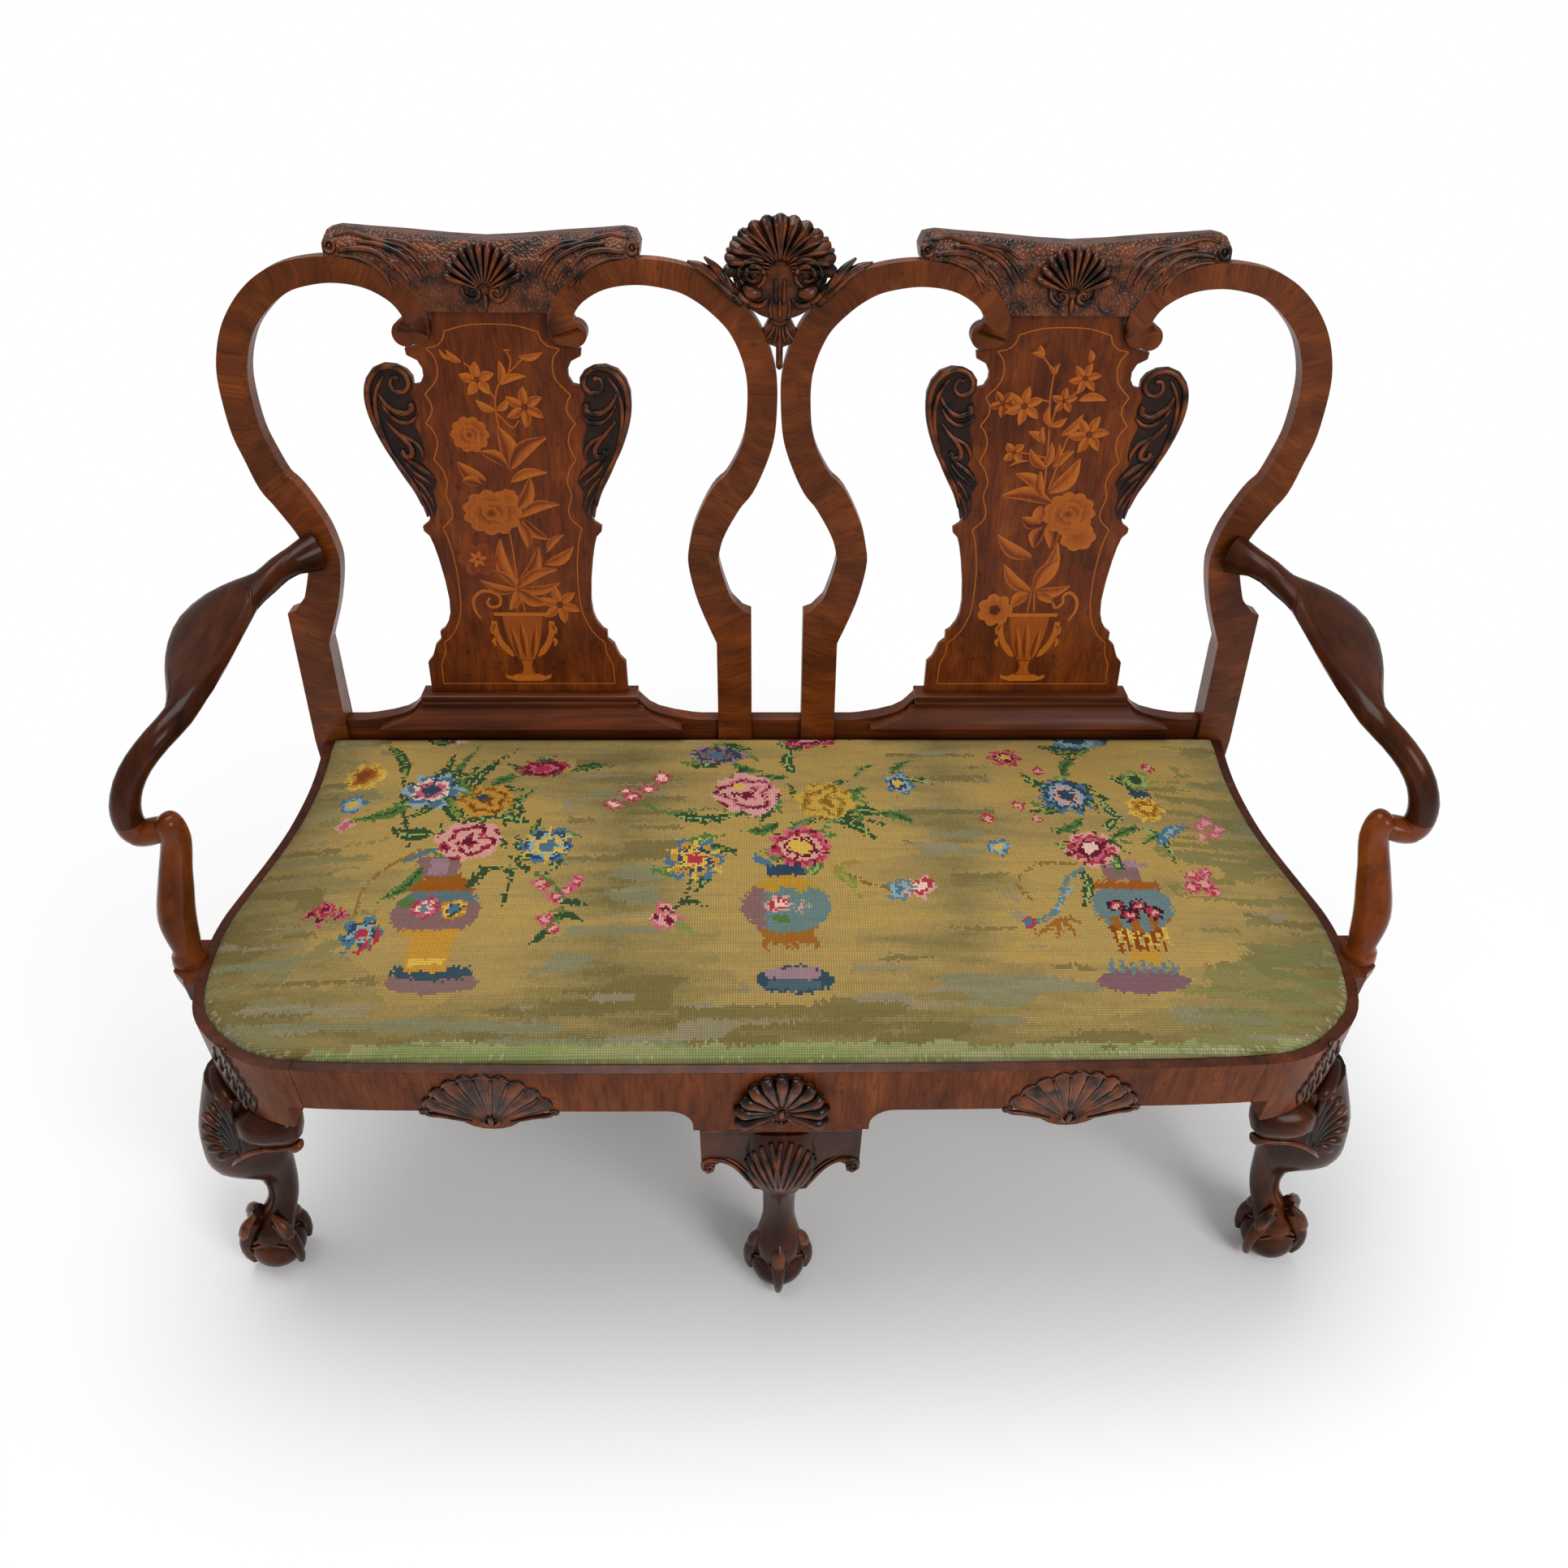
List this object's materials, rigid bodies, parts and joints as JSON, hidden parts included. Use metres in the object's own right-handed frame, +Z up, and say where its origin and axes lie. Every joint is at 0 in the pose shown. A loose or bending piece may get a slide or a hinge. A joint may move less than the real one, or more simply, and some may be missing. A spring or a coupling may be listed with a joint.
{
  "type": "chair-back settee",
  "caption": "Walnut chair-back settee with inlaid vase splats, carved shells, shepherd's crook arms, a tilting drop-in needlework seat and claw-and-ball feet.",
  "frame": {"origin": "on the floor, below the middle of the settee's bounding box", "axes": "+X to the right as the front is looked at, +Y to the back, +Z up"},
  "size_m": [1.358, 0.6711, 1.0641],
  "materials": {
    "walnut": "polished old walnut veneer and solid walnut",
    "carved_walnut": "carved walnut, dark in the hollows and worn on the ribs",
    "marquetry": "walnut veneer inlaid with lighter orange-brown woods",
    "beech": "plain planed beech, not polished",
    "iron": "dark iron",
    "jute_webbing": "woven jute straps",
    "hessian_cloth": "coarse hessian",
    "curled_hair": "hair stuffing under calico",
    "needlework": "wool needlework in small stitches",
    "black_cambric": "black dust cover cloth"
  },
  "bodies": {
    "settee_frame": {"front_rail": "walnut", "corner_left": "walnut", "corner_right": "walnut", "side_rail_left": "walnut", "side_rail_right": "walnut", "back_rail": "walnut", "middle_rail": "beech", "glue_blocks": "beech", "front_leg_left": "carved_walnut", "front_leg_right": "carved_walnut", "front_leg_middle": "carved_walnut", "knee_brackets_left": "carved_walnut", "knee_brackets_right": "carved_walnut", "back_post_left": "walnut", "back_post_right": "walnut", "back_leg_middle": "walnut", "inner_post_left": "walnut", "inner_post_right": "walnut", "hoop_outer_left": "walnut", "hoop_outer_right": "walnut", "hoop_inner_left": "walnut", "hoop_inner_right": "walnut", "hoop_dowels": "beech", "crest_left": "carved_walnut", "crest_right": "carved_walnut", "crest_shell_left": "carved_walnut", "crest_shell_right": "carved_walnut", "splat_left": "marquetry", "splat_right": "marquetry", "shoe_left": "walnut", "shoe_right": "walnut", "upstand_left": "walnut", "upstand_middle": "walnut", "upstand_right": "walnut", "finial_shell": "carved_walnut", "finial_base": "carved_walnut", "finial_pendant": "carved_walnut", "arm_left": "walnut", "arm_right": "walnut", "arm_support_left": "walnut", "arm_support_right": "walnut", "arm_blocks": "walnut", "arm_screws": "iron", "apron_shell_left": "carved_walnut", "apron_shell_middle": "carved_walnut", "apron_shell_right": "carved_walnut"},
    "drop_in_seat": {"slip_rail_front": "beech", "slip_rail_back": "beech", "slip_rail_left": "beech", "slip_rail_right": "beech", "slip_crossbar": "beech", "webbing": "jute_webbing", "hessian": "hessian_cloth", "stuffing": "curled_hair", "needlework_cover": "needlework", "cover_tacks": "iron", "dust_cover": "black_cambric"}
  },
  "joints": [
    {"name": "seat_lift", "type": "hinge", "parent": "settee_frame", "child": "drop_in_seat", "pos_m": [0, 0.1952, 0.4244], "axis": [-1, 0, 0], "range_deg": [0, 9]}
  ]
}
